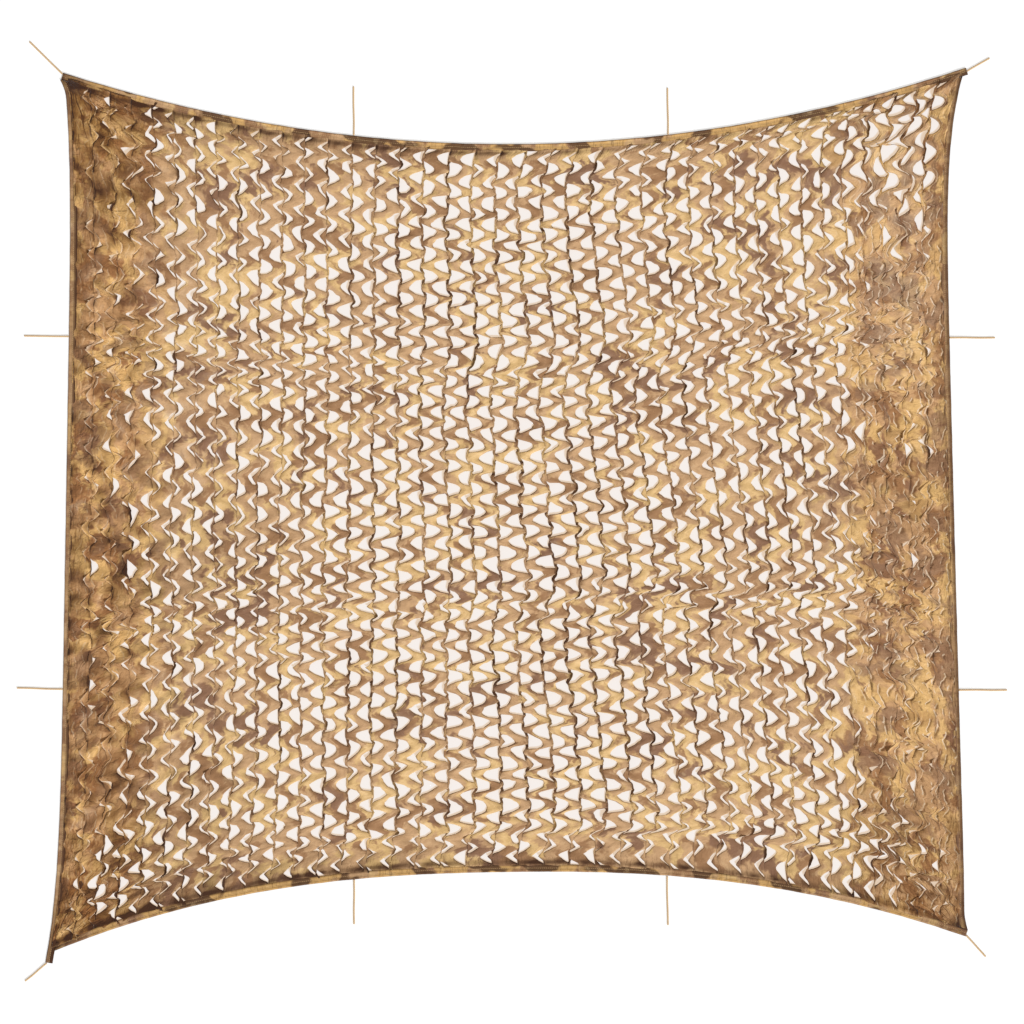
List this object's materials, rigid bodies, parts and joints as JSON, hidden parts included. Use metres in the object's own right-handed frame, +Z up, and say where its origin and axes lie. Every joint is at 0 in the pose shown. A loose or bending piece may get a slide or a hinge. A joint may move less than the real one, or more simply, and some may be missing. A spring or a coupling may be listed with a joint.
{
  "type": "camouflage netting",
  "caption": "Leaf-cut cloth net pulled open, bound along its sides, with short tie ropes at its corners and edges, lying flat on a surface.",
  "frame": {"origin": "on the surface the net lies on, under the middle of the bound net without its ties", "axes": "+Z up out of the face that shows, +Y to the net's top edge, +X to its right side, along its longer extent"},
  "size_m": [3.2971, 3.1325, 0.0139],
  "materials": {
    "net_cloth": "thin woven polyester printed in sand, tan, brown and dark brown patches, matt with a faint sheen",
    "binding_cloth": "the same printed cloth folded and sewn round the net's edge",
    "rope": "tan twisted cord, matt"
  },
  "bodies": {
    "root": {"net_sheet": "net_cloth", "binding_top": "binding_cloth", "binding_bottom": "binding_cloth", "binding_left": "binding_cloth", "binding_right": "binding_cloth", "tie_corner_tl": "rope", "tie_corner_tr": "rope", "tie_corner_bl": "rope", "tie_corner_br": "rope", "tie_top_1": "rope", "tie_top_2": "rope", "tie_bottom_1": "rope", "tie_bottom_2": "rope", "tie_left_1": "rope", "tie_left_2": "rope", "tie_right_1": "rope", "tie_right_2": "rope"}
  },
  "joints": []
}
